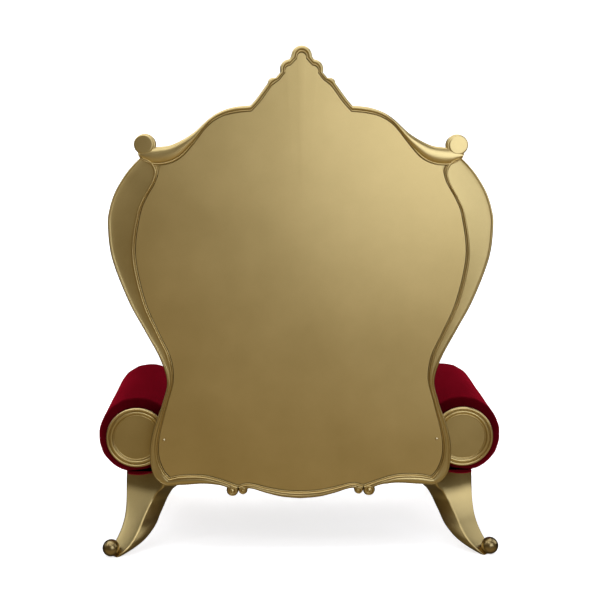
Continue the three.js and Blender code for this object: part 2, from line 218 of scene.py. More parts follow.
def shown(name, data):
    """A new object that holds the data, linked to the scene."""
    made = bpy.data.objects.new(name, data)
    bpy.context.scene.collection.objects.link(made)
    return made


def piece(name, shells, material, replaced=(), crease=MOULDING_CREASE):
    """One object from closed shells, smooth but for edges sharper than the crease angle. The
    shells' shade numbers go into the attribute 'relief'; the gilt paints them as shade and
    highlight."""
    mesh = mesh_of(name, shells)
    relief_shade = mesh.attributes.new("relief_shade", "FLOAT", "POINT")
    numbers = np.concatenate([shell.numbers for shell in shells])
    relief_shade.data.foreach_set("value", numbers.astype(np.float32))
    mesh.validate()
    mesh.shade_smooth()
    if crease:
        mesh.set_sharp_from_angle(angle=crease)
    mesh.materials.append(material)
    made = shown(name, mesh)
    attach(made, "root")
    if replaced:
        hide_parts(*replaced)
    return made


def on_back(across, up, depth):
    """Points of the leaning back plane, placed in the frame."""
    lean = math.pi / 2 - BACK_RECLINE
    y = up * math.cos(lean) - depth * math.sin(lean) + SETBACK
    z = up * math.sin(lean) + depth * math.cos(lean) + BACK_DATUM_Z
    return np.stack(np.broadcast_arrays(across, y, z), axis=-1)


def turned(profile, segments, centre, axis):
    """Grid of a solid of revolution: each (radius, height) corner goes round the axis that
    starts at centre."""
    profile = np.asarray(profile, float)
    axis = np.asarray(axis, float) / np.linalg.norm(axis)
    side = np.cross(axis, (0, 0, 1) if abs(axis[2]) < 0.9 else (1, 0, 0))
    side /= np.linalg.norm(side)
    other = np.cross(axis, side)
    angle = np.linspace(0, 2 * np.pi, segments, endpoint=False)
    around = np.cos(angle)[:, None] * side + np.sin(angle)[:, None] * other
    return centre + profile[:, :1, None] * around + profile[:, 1:, None] * axis


# ---------------------------------------------------------------- shader maths


class Wire:
    """A shader value. Python arithmetic on it adds Math nodes."""

    def __init__(self, nodes, socket):
        self.nodes = nodes
        self.socket = socket

    def work(self, operation, *values):
        """The result of one Math node."""
        made = self.nodes.node("ShaderNodeMath", {"operation": operation}, *values)
        return Wire(self.nodes, made.outputs[0])

    def __add__(self, other):
        return self.work("ADD", self, other)

    def __radd__(self, other):
        return self.work("ADD", other, self)

    def __sub__(self, other):
        return self.work("SUBTRACT", self, other)

    def __rsub__(self, other):
        return self.work("SUBTRACT", other, self)

    def __mul__(self, other):
        return self.work("MULTIPLY", self, other)

    def __rmul__(self, other):
        return self.work("MULTIPLY", other, self)

    def held(self):
        """The value kept between 0 and 1."""
        made = self.nodes.node("ShaderNodeClamp", {}, self)
        return Wire(self.nodes, made.outputs[0])


class Nodes:
    """A node tree, with one way to add any node."""

    def __init__(self, tree):
        self.tree = tree

    def node(self, kind, settings, *values, **named):
        """A node of one kind, its settings first, then the values or links of its sockets."""
        made = self.tree.nodes.new(kind)
        for key, value in settings.items():
            setattr(made, key, value)
        by_name = ((made.inputs[key.replace("_", " ")], value) for key, value in named.items())
        for socket, value in [*zip(made.inputs, values), *by_name]:
            self.join(value, socket)
        return made

    def join(self, value, socket):
        """Link an output to a socket, or set a constant on it."""
        if isinstance(value, Wire):
            value = value.socket
        if isinstance(value, bpy.types.NodeSocket):
            self.tree.links.new(value, socket)
        else:
            socket.default_value = value


class Paint(Nodes):
    """One material's nodes. Constants go on the shader's sockets, and varying values through
    Wire."""

    def __init__(self, name, **constants):
        self.material = bpy.data.materials.new(name)
        self.material.use_nodes = True
        super().__init__(self.material.node_tree)
        self.tree.nodes.clear()
        self.shader = self.node("ShaderNodeBsdfPrincipled", {}, **constants)
        self.node("ShaderNodeOutputMaterial", {}, self.shader.outputs[0])
        self.place = self.node("ShaderNodeTexCoord", {}).outputs["Object"]

    def noise(self, scale, detail=3.0, roughness=0.5, stretch=(1, 1, 1)):
        """Fractal noise from 0 to 1 over the object, stretched along the axes."""
        spread = self.node("ShaderNodeMapping", {}, self.place, Scale=stretch).outputs[0]
        made = self.node(
            "ShaderNodeTexNoise", {}, spread, Scale=scale, Detail=detail, Roughness=roughness,
        )
        return Wire(self, made.outputs["Fac"])

    def relief_shade(self):
        """The piece's shade number: 0 in its hollows, for painted shade, and 1 on its crests, for painted
        highlight.
        """
        made = self.node("ShaderNodeAttribute", {"attribute_name": "relief_shade"})
        return Wire(self, made.outputs["Fac"])

    def mix(self, amount, dark, light):
        """A colour between two others."""
        made = self.node("ShaderNodeMix", {"data_type": "RGBA"}, Factor=amount)
        for socket, colour in zip(made.inputs[6:8], (dark, light)):
            self.join((*colour, 1.0), socket)
        return made.outputs[2]

    def feed(self, name, value):
        """Link a varying value to one of the shader's sockets."""
        self.join(value, self.shader.inputs[name])

    def bump(self, height, distance, strength=1.0):
        """Fine bumps over the whole surface, in metres."""
        made = self.node("ShaderNodeBump", {}, Strength=strength, Distance=distance, Height=height)
        self.feed("Normal", made.outputs[0])


# ---------------------------------------------------------------- finishes


def gilt(name, dark, light, roughness, grain=1.0):
    """Satin gold paint: cloudy tone, a fine sprayed grain, and painted shade and highlight:
    darker, duller hollows and lighter crests, by each point's shade number.
    """
    paint = Paint(name, Metallic=1.0, Coat_Weight=0.22, Coat_Roughness=0.25)
    clouds = paint.noise(5.0, 4.0, 0.55)
    mist = paint.noise(420.0, 2.0, 0.6)
    # crest is the shade number: painted shade in hollows and painted highlight on crests, 0.30 of the tone;
    # it also makes hollows a little rougher.
    crest = paint.relief_shade()
    tone = (clouds * 0.55 + mist * 0.15 + crest * 0.30).held()
    paint.feed("Base Color", paint.mix(tone, dark, light))
    duller = (clouds - 0.5) * 0.10 + (mist - 0.5) * 0.06 + (1 - crest) * 0.05
    paint.feed("Roughness", (roughness + duller).held())
    paint.bump(mist * 0.6 + paint.noise(90.0, 3.0) * 0.4, 0.0004 * grain, 0.35)
    return paint.material


def velvet_cloth(name, deep, bright):
    """Velvet: a short nap that lies in brushed patches, with a soft sheen at grazing angles."""
    paint = Paint(
        name, Roughness=0.95, Specular_IOR_Level=0.0, Sheen_Weight=0.50, Sheen_Roughness=0.40,
        Sheen_Tint=(0.60, 0.012, 0.035, 1.0),
    )
    nap = paint.noise(7.0, 4.0, 0.6, (1, 1, 1.6))
    pile = paint.noise(900.0, 2.0, 0.7)
    paint.feed("Base Color", paint.mix((nap * 0.7 + pile * 0.3).held(), deep, bright))
    paint.bump(pile * 0.5 + nap * 0.5, 0.0012, 0.5)
    return paint.material


def deck_board(name):
    """Dark board with a faint grain along X."""
    paint = Paint(name, Roughness=0.8)
    grain = paint.noise(14.0, 5.0, 0.6, (0.3, 4, 4))
    paint.feed("Base Color", paint.mix(grain, (0.028, 0.018, 0.012), (0.075, 0.050, 0.034)))
    paint.bump(grain, 0.0006, 0.4)
    return paint.material


GOLD = gilt("satin_gilt", (0.38, 0.275, 0.095), (0.84, 0.655, 0.290), 0.33)
PANEL_GOLD = gilt("panel_gilt", (0.48, 0.345, 0.120), (0.82, 0.630, 0.270), 0.40, 0.7)
BALL_GOLD = gilt("polished_gilt", (0.22, 0.155, 0.060), (0.46, 0.345, 0.150), 0.27, 0.4)
# Pale gilt for the screw caps: a painted highlight, so that they show as bright dots.
CAP_GOLD_HIGHLIT = gilt("cap_gilt_highlit", (0.70, 0.55, 0.28), (0.88, 0.76, 0.50), 0.34, 0.4)
VELVET = velvet_cloth("red_velvet", (0.026, 0.0004, 0.0014), (0.080, 0.0009, 0.0034))
BOARD = deck_board("deck_board")

# ---------------------------------------------------------------- outline of the back
#
# Each moulding is a pair of lines, its outer and its inner edge, given for the +X half.

STEPS = 120  # stations along a long moulding

finial_outer = np.concatenate([
    arc(0, 1.352, 0.033, 90, 0, 14),
    arc(0.038, 1.312, 0.0305, 88, -18, 14),
    arc(0.090, 1.269, 0.017, 115, 0, 9),
    spline([(0.107, 1.269), (0.142, 1.222), (0.161, 1.200)], 9)[1:],
])
finial_inner = np.concatenate([
    arc(0, 1.350, 0.014, 90, -15, 14),
    arc(0.036, 1.308, 0.016, 95, -20, 14),
    spline([(0.068, 1.281), (0.089, 1.265), (0.098, 1.256)], 9),
    spline([(0.098, 1.256), (0.131, 1.211), (0.158, 1.182)], 9)[1:],
])
swoosh_outer = spline([
    (0.161, 1.200), (0.212, 1.195), (0.256, 1.181), (0.292, 1.159), (0.347, 1.111),
    (0.408, 1.078), (0.452, 1.070), (0.484, 1.068), (0.505, 1.063), (0.519, 1.050),
], STEPS)
swoosh_inner = spline([
    (0.158, 1.182), (0.212, 1.176), (0.255, 1.164), (0.297, 1.135), (0.347, 1.074),
    (0.382, 1.037), (0.420, 1.018), (0.462, 1.013), (0.492, 1.021), (0.512, 1.033),
], STEPS)
crest_outer = np.concatenate([finial_outer, swoosh_outer[1:]])
crest_inner = np.concatenate([finial_inner, swoosh_inner[1:]])

WING_OUTER = [
    (0.513, 1.034), (0.534, 1.014), (0.563, 0.979), (0.594, 0.928), (0.613, 0.874),
    (0.620, 0.820), (0.609, 0.714), (0.560, 0.577), (0.508, 0.476), (0.462, 0.386),
    (0.440, 0.309), (0.456, 0.237), (0.492, 0.132), (0.501, 0.060), (0.490, -0.010),
    (0.452, -0.045),
]
WING_INNER = [
    (0.501, 1.037), (0.472, 1.024), (0.456, 0.994), (0.467, 0.956), (0.496, 0.906),
    (0.517, 0.850), (0.533, 0.725), (0.505, 0.577), (0.461, 0.469), (0.427, 0.392),
    (0.418, 0.316), (0.438, 0.237), (0.466, 0.130), (0.471, 0.062), (0.456, 0.010),
    (0.435, -0.017),
]
HEM_OUTER = [
    (0.452, -0.045), (0.398, -0.045), (0.333, -0.041), (0.295, -0.043), (0.257, -0.050),
    (0.219, -0.070),
]
HEM_INNER = [
    (0.435, -0.017), (0.400, -0.009), (0.340, -0.008), (0.301, -0.014), (0.256, -0.028),
    (0.2088, -0.0455),
]
STATIONS = 18  # stations between two neighbouring knots of the wing and the hem
WING_SPAN = STATIONS * (len(WING_OUTER) - 1)
HEM_SPAN = STATIONS * (len(HEM_OUTER) - 1)
side_outer = spline(WING_OUTER + HEM_OUTER[1:], WING_SPAN + HEM_SPAN + 1)
side_inner = np.concatenate([
    spline(WING_INNER, WING_SPAN + 1), spline(HEM_INNER, HEM_SPAN + 1)[1:],
])
bow_outer = spline([
    (0, -0.093), (0.058, -0.088), (0.109, -0.076), (0.170, -0.058), (0.199, -0.070),
], STEPS)
bow_inner = spline([
    (0, -0.066), (0.057, -0.063), (0.109, -0.053), (0.172, -0.038), (0.2088, -0.0455),
], STEPS)

# Round ends as (across, up, radius)
VOLUTE = (0.4990, 1.0770, 0.0315)
VOLUTE_BACK = (0.4950, 1.0770, 0.0340)  # the roll that the disc lies on
OUTER_SCROLL = (0.2280, -0.063, 0.0200)
INNER_SCROLL = (0.1930, -0.062, 0.0152)

BACK_MIDDLE = np.array((0, 0.560))
PAD_OUTLINE = both_halves(spline([
    (0, 1.165), (0.150, 1.130), (0.290, 1.040), (0.400, 0.930), (0.465, 0.800), (0.462, 0.680),
    (0.415, 0.540), (0.372, 0.400), (0.366, 0.290), (0.392, 0.160), (0.396, 0.050),
    (0.350, 0.002), (0.175, 0), (0, 0),
], 2 * STEPS))[:-1]


def radius_at(outline, angle):
    """Distance of an outline from the back's middle, read off at each angle."""
    offset = outline - BACK_MIDDLE
    around = np.arctan2(offset[:, 1], offset[:, 0])
    order = np.argsort(around)
    return np.interp(angle, around[order], np.hypot(*offset.T)[order], period=2 * np.pi)


# ---------------------------------------------------------------- mouldings of the back


def half_wave(count):
    """Even steps from 0 to 1, the same steps drawn out as half a cosine, and half a sine."""
    s = np.linspace(0, 1, count)
    return s, (1 - np.cos(np.pi * s)) / 2, np.sin(np.pi * s)


def bead(start, width, low, high, rise, count):
    """A half-round, as (across, depth): depth goes in a straight line from low to high less a
    half sine of the given rise."""
    s, run, wave = half_wave(count)
    low, high, rise = (np.broadcast_to(value, width.shape)[:, None] for value in (low, high, rise))
    return start[:, None] + width[:, None] * run, low + (high - low) * s - rise * wave


def joined(*parts):
    """Beads side by side, each without the point that it shares with the one before."""
    return tuple(
        np.concatenate([parts[0][k], *(part[k][:, 1:] for part in parts[1:])], axis=1) for k in (0, 1)
    )


def front_face(width, count=12):
    """Front of a moulding, from its inner edge back to its outer one: one plain half-round."""
    _, run, wave = half_wave(count)
    depth = RIM_DEPTH + (FRAME_FRONT - RIM_DEPTH) * wave
    return width[:, None] * run[::-1], np.broadcast_to(depth, (len(width), count))


def crest_profile(width):
    """A roll that flattens into a domed leaf as it widens, a groove, and a small bead."""
    thin = np.minimum(0.0075, width * 0.34)
    roll_rise = 0.0085 + 0.035 * (width - 0.019)
    small_rise = 0.0015 + thin * 0.18 / 0.34
    return joined(
        bead(np.zeros_like(width), width - thin, 0.005, 0.0005, roll_rise, 20),
        bead(width - thin, thin, 0.0005, PANEL_FACE, small_rise, 9),
    )


def side_profile(width):
    """A rounded rim, a face, a large bead and a fine one along the inner edge. The face is
    gently dished on the wing, and swells into a round band on the hem."""
    station = np.arange(len(width))
    return banded_profile(width, smooth_step(station, WING_SPAN - 2 * STATIONS, WING_SPAN + STATIONS))


def bow_profile(width):
    """The hem's own round band and beads."""
    return banded_profile(width, np.ones_like(width))


def banded_profile(width, band):
    """Rim, face and beads from the outer edge inwards. The band number runs from 0, a flat face,
    to 1, a round one."""
    beads = np.minimum(0.0125, width * 0.45)
    large, small = beads * 0.68, beads * 0.32
    rim = np.minimum(0.008, width * 0.30) * (1 - 0.5 * band)
    face = width - beads - rim
    shoulder = 0.0015 * band  # depth of the edge between rim and face
    dome = band * 0.0040 - (1 - band) * 0.0015 * face / (face + 0.02)
    return joined(
        bead(np.zeros_like(width), rim, 0.006, shoulder, 0.0045 - 0.0025 * band, 9),
        bead(rim, face, shoulder, 0.0015, dome, 18),
        bead(rim + face, large, 0.0015, 0.0, 0.0076, 14),
        bead(rim + face + large, small, 0.0, PANEL_FACE, 0.0022, 8),
    )


def moulding(outer, inner, profile):
    """A profile carried along a pair of edge lines: each profile point lies on the straight
    line from the outer edge to the inner one, at its own share of the width."""
    width = np.hypot(*(outer - inner).T)
    across, depth = profile(width)
    front_across, front_depth = front_face(width)
    across = np.concatenate([across, front_across], axis=1)
    depth = np.concatenate([depth, front_depth], axis=1)
    share = (across / width[:, None])[..., None]
    plan = outer[:, None] * (1 - share) + inner[:, None] * share
    # Painted shade and highlight: the shallower a point, the prouder it stands at the rear and the lighter
    # the gilt; deeper points, in grooves and down to the panel, are painted darker. The front faces get an
    # even 0.8.
    height = np.clip(0.60 - depth / 0.010, 0, 1)
    height[:, -front_across.shape[1]:] = 0.8
    return skin(on_back(plan[..., 0], plan[..., 1], depth), shade=height)


def round_end(centre, reach, angle, depth, shade):
    """Shell over rings about a centre on the back: reach is each ring's share of the radius."""
    x, y, radius = centre
    across, up = x + radius * reach * np.cos(angle), y + radius * reach * np.sin(angle)
    return skin(on_back(across, up, depth), shade=shade)


def scroll(centre, turns, turn_start, groove, segments=72):
    """Round end of a scroll. The face is a shallow dome with a rounded rim, and a groove runs
    into it along a spiral whose radius falls evenly with the angle."""
    front = FRAME_FRONT - 0.002
    reach = np.concatenate([np.linspace(0.02, 1, 30), [1.0, 0.9]])
    angle = np.linspace(0, 2 * np.pi, segments, endpoint=False)
    r, a = np.meshgrid(reach, angle, indexing="ij")
    dome = -0.0075 + 0.010 * smooth_step(r, 0.72, 1.02) ** 1.5 + 0.0015 * r**2
    cut = np.zeros_like(r)
    for lap in range(math.ceil(turns) + 1):
        travel = ((a - turn_start) % (2 * np.pi)) / (2 * np.pi) + lap
        path = 0.80 - 0.62 * travel / turns
        fade = smooth_step(travel, 0, 0.12) * (1 - smooth_step(travel, turns - 0.12, turns))
        cut = np.maximum(cut, fade * np.exp(-(((r - path) / 0.085) ** 2)))
    knob = 0.0025 * np.exp(-((r / 0.22) ** 2))
    depth = dome + groove * cut - knob
    depth[-2:] = [[front - 0.006], [front]]
    # Painted shade: the deeper a point lies, as in the spiral groove, the darker it is painted; the dome's
    # top is lightest, and the outer ring and wall get 0.6.
    shade = np.clip(0.35 - depth / 0.012, 0, 1)
    shade[-2:] = 0.6
    return round_end(centre, r, a, depth, shade)


def button(centre, face, front, segments=72):
    """Plain round end of a volute: a flat face whose rim rolls over through a quarter circle
    into a straight wall."""
    flat, turn = 7, 0.16  # rings on the flat, and the rolled rim's share of the radius
    quarter = np.linspace(0, np.pi / 2, 9)
    rise = centre[2] * turn
    reach = np.concatenate([
        np.linspace(0.02, 1 - turn, flat + 1)[:-1], 1 - turn + turn * np.sin(quarter), [1.0, 0.9],
    ])
    depth = np.concatenate([
        np.full(flat, face), face + rise - rise * np.cos(quarter), [face + rise + 0.001, front],
    ])[:, None]
    angle = np.linspace(0, 2 * np.pi, segments, endpoint=False)
    # Painted highlight and shade: the flat face and the start of the rolled rim get 0.9, the rest of the
    # rim and the wall 0.3.
    return round_end(centre, reach[:, None], angle, depth, np.where(depth < face + 0.7 * rise, 0.9, 0.3))


def field_board():
    """Board between the mouldings and the pad, seen from the front: a ring between two outlines,
    read off by angle, with a bead round the pad."""
    angle = np.linspace(-np.pi, np.pi, 720, endpoint=False)
    pairs = (
        (crest_outer, crest_inner), (side_outer[30:], side_inner[30:]),
        (bow_outer[::-1], bow_inner[::-1]),
    )
    under_mouldings = np.concatenate([0.4 * outer + 0.6 * inner for outer, inner in pairs])
    inside = radius_at(PAD_OUTLINE, angle) * 1.002
    width = radius_at(both_halves(under_mouldings), angle) - inside
    s, _, wave = half_wave(13)
    trim, trim_rise = 0.014, 0.007
    trim_step = np.broadcast_to([0.0, *(trim * s), 0.022], (len(angle), len(s) + 2))
    step = np.concatenate([trim_step, width[:, None], width[:, None]], axis=1)
    crest = np.array([RECESS_DEPTH, *(RIM_DEPTH + trim_rise * wave), RIM_DEPTH, RIM_DEPTH, RECESS_DEPTH])
    radius = inside[:, None] + step
    across = radius * np.cos(angle)[:, None]
    up = BACK_MIDDLE[1] + radius * np.sin(angle)[:, None]
    # Painted highlight along the top of the trim bead round the pad, by how far it rises; the rest of the
    # board gets 0.4.
    shade = 0.4 + 0.6 * np.clip((crest - RIM_DEPTH) / trim_rise, 0, 1)
    return skin(on_back(across, up, crest), wrap_rows=True, shade=shade)


def panel_board():
    """Smooth rear board: rings about its middle out to the mouldings' inner edge, bowed
    backwards by a hair."""
    line = both_halves(np.concatenate([
        crest_inner[crest_inner[:, 0] < 0.45], side_inner[40:], bow_inner[::-1],
    ]))[:-1]
    share = np.concatenate([np.linspace(0.01, 0.997, 46), [0.997]])
    plan = BACK_MIDDLE + (line - BACK_MIDDLE) * share[:, None, None]
    depth = PANEL_FACE - PANEL_EASE - 0.003 * (1 - share**2)
    depth[-1] = RECESS_DEPTH - 0.0005
    return skin(on_back(plan[..., 0], plan[..., 1], depth[:, None]), shade=0.75)


def build_back():
    """The frame's mouldings and scrolls, the field board, the panel and its two screw caps."""
    crest = moulding(both_halves(crest_outer), both_halves(crest_inner), crest_profile)
    bow = moulding(both_halves(bow_outer), both_halves(bow_inner), bow_profile)
    side = moulding(side_outer, side_inner, side_profile)
    volutes = [button(VOLUTE_BACK, -0.0020, 0.044), button(VOLUTE, -0.0066, 0.020)]
    curls = [
        scroll(OUTER_SCROLL, 1.35, math.radians(200), 0.0035),
        scroll(INNER_SCROLL, 1.25, math.radians(80), 0.003),
    ]
    halves = [side, *volutes, *curls]
    carved = [crest, bow, field_board(), *halves, *map(mirrored, halves)]
    piece("back_frame_carved", carved, GOLD, ["back_frame"])
    piece("back_panel_board", [panel_board()], PANEL_GOLD, ["back_panel"])

    dome = [(0.0002, -0.0032), (0.002, -0.0029), (0.0035, -0.0022), (0.0048, -0.001), (0.0055, 0.0006)]
    forward = on_back(0, 0, 1.0) - on_back(0, 0, 0.0)
    for side, sign in (("left", 1), ("right", -1)):
        # The caps' shade number is 1.0, the top of the range: more painted highlight.
        cap = skin(turned(dome, 24, on_back(0.452 * sign, 0.112, -0.0022), forward), shade=1.0)
        piece(f"panel_screw_cap_{side}", [cap], CAP_GOLD_HIGHLIT, [f"panel_screw_{side}"])


# ---------------------------------------------------------------- arms

ARM_AXIS = (DISC_FRONT - DISC_REAR) / np.linalg.norm(DISC_FRONT - DISC_REAR)
ROLL_REAR = DISC_REAR + ARM_AXIS * (DISC_HEIGHT / 2 + DISC_GAP)
ROLL_FRONT = DISC_FRONT - ARM_AXIS * (DISC_HEIGHT / 2 + DISC_GAP)
ROLL_LENGTH = float(np.linalg.norm(ROLL_FRONT - ROLL_REAR))


def roll_underside(x, y):
    """Height of the roll's lower surface over a point of the floor, rounded ends included, and
    far up outside it."""
    along = (y - ROLL_REAR[1]) / ARM_AXIS[1]
    inside = np.minimum(along, ROLL_LENGTH - along)
    fall = ROLL_END_ROUND - np.clip(inside, 0, ROLL_END_ROUND)
    radius = ROLL_RADIUS - ROLL_END_ROUND + np.sqrt(ROLL_END_ROUND**2 - fall**2)
    axis_x = ROLL_REAR[0] + along * ARM_AXIS[0]
    axis_z = ROLL_REAR[2] + along * ARM_AXIS[2]
    reach = (radius + ROLL_CLEARANCE) ** 2 - (x - axis_x) ** 2
    return np.where((reach > 0) & (inside > 0), axis_z - np.sqrt(np.maximum(reach, 0)), FAR_UP)


def roll_grid(segments=96):
    """Bolster: a straight barrel with quarter-round shoulders of the end radius."""
    quarter = np.linspace(0, np.pi / 2, 9)
    turn = ROLL_END_ROUND
    radius = ROLL_RADIUS - ROLL_SLACK
    shoulder = np.stack([radius - turn + turn * np.sin(quarter), turn - turn * np.cos(quarter)], axis=1)
    face = np.stack([np.linspace(0.004, radius - turn, 8)[:-1], np.zeros(7)], axis=1)
    near = np.concatenate([face, shoulder])
    barrel = np.stack([np.full(40, radius), np.linspace(turn, ROLL_LENGTH - turn, 42)[1:-1]], axis=1)
    far = near[::-1] * (1, -1) + (0, ROLL_LENGTH)
    return turned(np.concatenate([near, barrel, far]), segments, ROLL_REAR, ARM_AXIS)


def disc_bead(inset, width, base, rise, count):
    """A half-round on the disc's face, its outer edge inset from the rim, as (radius, height)."""
    _, run, wave = half_wave(count)
    return np.stack([DISC_RADIUS - inset - width * run, base + rise * wave], axis=1)


def disc_profile():
    """Face of the turned disc from its edge inwards: rim roll, groove, ring, groove, fine bead and
    flat middle, as (radius, height)."""
    low = DISC_HEIGHT - 0.0065
    return np.concatenate([
        [(0.002, 0.0), (DISC_RADIUS - 0.003, 0.0), (DISC_RADIUS, 0.002)],
        disc_bead(0, 0.0105, low - 0.001, 0.0065, 12),
        disc_bead(0.0120, 0.0105, low - 0.001, 0.0050, 11),
        disc_bead(0.0240, 0.0050, low - 0.0015, 0.0024, 8),
        [(DISC_RADIUS - 0.034, low - 0.0015), (0.002, low - 0.0015)],
    ])


def build_arms():
    """Velvet rolls and bases, with a turned gilt disc on each end of the rolls."""
    roll = simulated("arm_roll_cover_left", roll_grid(), voxel=0.0075, pressure=3.0, cap=0.0075, settle=0.4)
    dress_roll(roll)
    twin = mirror_copy(roll, "arm_roll_cover_right")
    finish_soft(roll, "arm_roll_left")
    finish_soft(twin, "arm_roll_right")

    profile = disc_profile()
    # Painted shade and highlight: the higher a point of the disc's face, as on its beads, the lighter the
    # gilt; grooves and the flat middle are darker, down to 0.45.
    crest = np.clip(profile[:, 1] / 0.010, 0.45, 1)[:, None]
    discs = [
        (end, skin(turned(profile, 160, start + axis * DISC_GAP, axis), shade=crest))
        for end, start, axis in (("back", ROLL_REAR, -ARM_AXIS), ("front", ROLL_FRONT, ARM_AXIS))
    ]
    base = base_shell()
    for side, flip in SIDES:
        for end, disc in discs:
            name, node = f"arm_disc_turned_{end}_{side}", f"arm_disc_{end}_{side}"
            piece(name, [flip(disc)], GOLD, [node])
        piece(
            f"arm_base_cover_{side}", [flip(base)], VELVET, [f"arm_base_{side}"],
            crease=BLOCK_CREASE,
        )


def base_shell():
    """Padded base of an arm: a section that is bulged on its sides and hollow on top, where the
    roll lies, carried along Y. Its foot steps up over the legs at both ends."""
    y = np.linspace(BASE_LOW.y, BASE_HIGH.y, 90)[:, None]
    s = np.linspace(0, 1, 17)
    step, run = 0.0184, 0.006  # height of the foot's step, and how far along Y it takes
    rear_step = smooth_step(y, RAIL_HIGH.y - run, RAIL_HIGH.y)
    front_step = 1 - smooth_step(y, RAIL_LOW.y, RAIL_LOW.y + run)
    foot = BASE_LOW.z + step * (rear_step + front_step)
    inner_x, outer_x = BASE_LOW.x + 0.001, BASE_HIGH.x - 0.001
    top_x = inner_x + (outer_x - inner_x) * s
    across = np.concatenate([np.full(16, inner_x), top_x, np.full(16, outer_x), top_x[-2:0:-1]])
    bulge = 0.005 * np.sin(np.pi * s)
    bulge = np.concatenate([-bulge, np.zeros(16), bulge[1:], np.zeros(15)])
    middle, half = (BASE_LOW.y + BASE_HIGH.y) / 2, (BASE_HIGH.y - BASE_LOW.y) / 2
    fullness = 1 - np.clip(np.abs(y - middle) / half, 0, 1) ** 12
    top = np.minimum(roll_underside(top_x, y), BASE_HIGH.z)
    height = np.concatenate([
        foot + (top[:, :1] - foot) * s, top[:, 1:], top[:, -1:] + (foot - top[:, -1:]) * s[1:],
        foot + np.zeros(15),
    ], axis=1)
    return skin(np.stack(np.broadcast_arrays(across + bulge * fullness, y, height), axis=-1), shade=0.5)


# ---------------------------------------------------------------- legs

# Height, reach of the outer face along the diagonal, thickness, and the two sides across it.
LEG_SECTIONS = [
    (LEG_TOP, 0.239, 0.075, -0.593, -0.403),
    (0.203, 0.243, 0.078, -0.591, -0.405),
    (0.176, 0.249, 0.079, -0.585, -0.432),
    (0.150, 0.262, 0.079, -0.571, -0.442),
    (0.125, 0.283, 0.079, -0.550, -0.439),
    (0.100, 0.309, 0.079, -0.527, -0.432),
    (0.078, 0.336, 0.078, -0.508, -0.420),
    (0.058, 0.361, 0.071, -0.495, -0.412),
    (0.040, 0.384, 0.060, -0.487, -0.408),
    (0.024, 0.405, 0.046, -0.482, -0.411),
    (0.010, 0.421, 0.032, -0.478, -0.421),
    (0.0, 0.429, 0.020, -0.474, -0.431),
]


def leg_shell():
    """Sabre leg: a rectangle with small rounded arrises, carried through spline sections. Along
    the diagonal, s grows outwards, and t runs square to it. The outer face is dished by a hair
    between its arrises."""
    rows = spline(LEG_SECTIONS, 150)
    height, reach, thick, low, high = (rows[:, k, None] for k in range(5))
    height[-1] = 0
    corner = np.minimum(0.0045, (high - low) / 5)
    quarter = np.linspace(0, np.pi / 2, 5)
    outward, inward, upper, lower = reach - corner, reach - thick + corner, high - corner, low + corner
    hubs = ((outward, upper), (inward, upper), (inward, lower), (outward, lower))
    parts = []
    for turn, (hub_s, hub_t) in enumerate(hubs):
        angle = quarter + turn * np.pi / 2
        parts.append((hub_s + corner * np.cos(angle), hub_t + corner * np.sin(angle)))
    share = np.linspace(0, 1, 14)[1:-1]
    dish = reach - 0.0022 * np.sin(np.pi * share) ** 0.6
    parts.append((dish, lower + (upper - lower) * share))
    s, t = (np.concatenate(run, axis=1) for run in zip(*parts))
    x = s * math.cos(LEG_TURN) - t * math.sin(LEG_TURN)
    y = s * math.sin(LEG_TURN) + t * math.cos(LEG_TURN) + SETBACK
    z = np.minimum(height, roll_underside(x, y))
    arrises = len(hubs) * len(quarter)
    # Painted highlight: the rounded arrises get a shade number of 0.8, the faces 0.55.
    return skin(np.stack([x, y, z], axis=-1), shade=np.where(np.arange(s.shape[1]) < arrises, 0.8, 0.55))


def ball_shell():
    """Sphere: latitude runs from pole to pole and longitude round it."""
    latitude = np.linspace(-np.pi / 2, np.pi / 2, 36)[1:-1]
    profile = BALL_RADIUS * np.stack([np.cos(latitude), np.sin(latitude)], axis=1)
    return skin(turned(profile, 64, BALL_CENTRE, (0, 0, 1)), shade=0.7)


def build_legs():
    """Four sabre legs, each with the ball that its toe holds."""
    leg, ball = leg_shell(), ball_shell()
    for end, move in (("back", unchanged), ("front", to_front)):
        for side, flip in SIDES:
            corner = f"{end}_{side}"
            piece(
                f"sabre_leg_{corner}", [flip(move(leg))], GOLD, [f"leg_{corner}"],
                crease=BLOCK_CREASE,
            )
            piece(
                f"toe_ball_turned_{corner}", [flip(move(ball))], BALL_GOLD,
                [f"toe_ball_{corner}"], crease=None,
            )


# ---------------------------------------------------------------- rails


def rail_section(low, high, outer, inner):
    """Section of a rail, as how far out and how far up each corner is: a cove below the top edge
    and a bead along the foot. There is one row of heights for each foot height in low."""
    s, _, wave = half_wave(11)
    bead_height, cap_height = 0.014, 0.012
    face = outer - 0.003
    out = np.concatenate([face + 0.004 * wave, [face, face], face + 0.003 * wave, [inner, inner]])
    foot = np.concatenate([low + bead_height * s, low + bead_height + 0.002], axis=1)
    top = np.array([high - 0.014, *(high - cap_height + cap_height * s), high])
    return out, np.concatenate([foot, np.broadcast_to(top, (len(low), len(top))), low], axis=1)


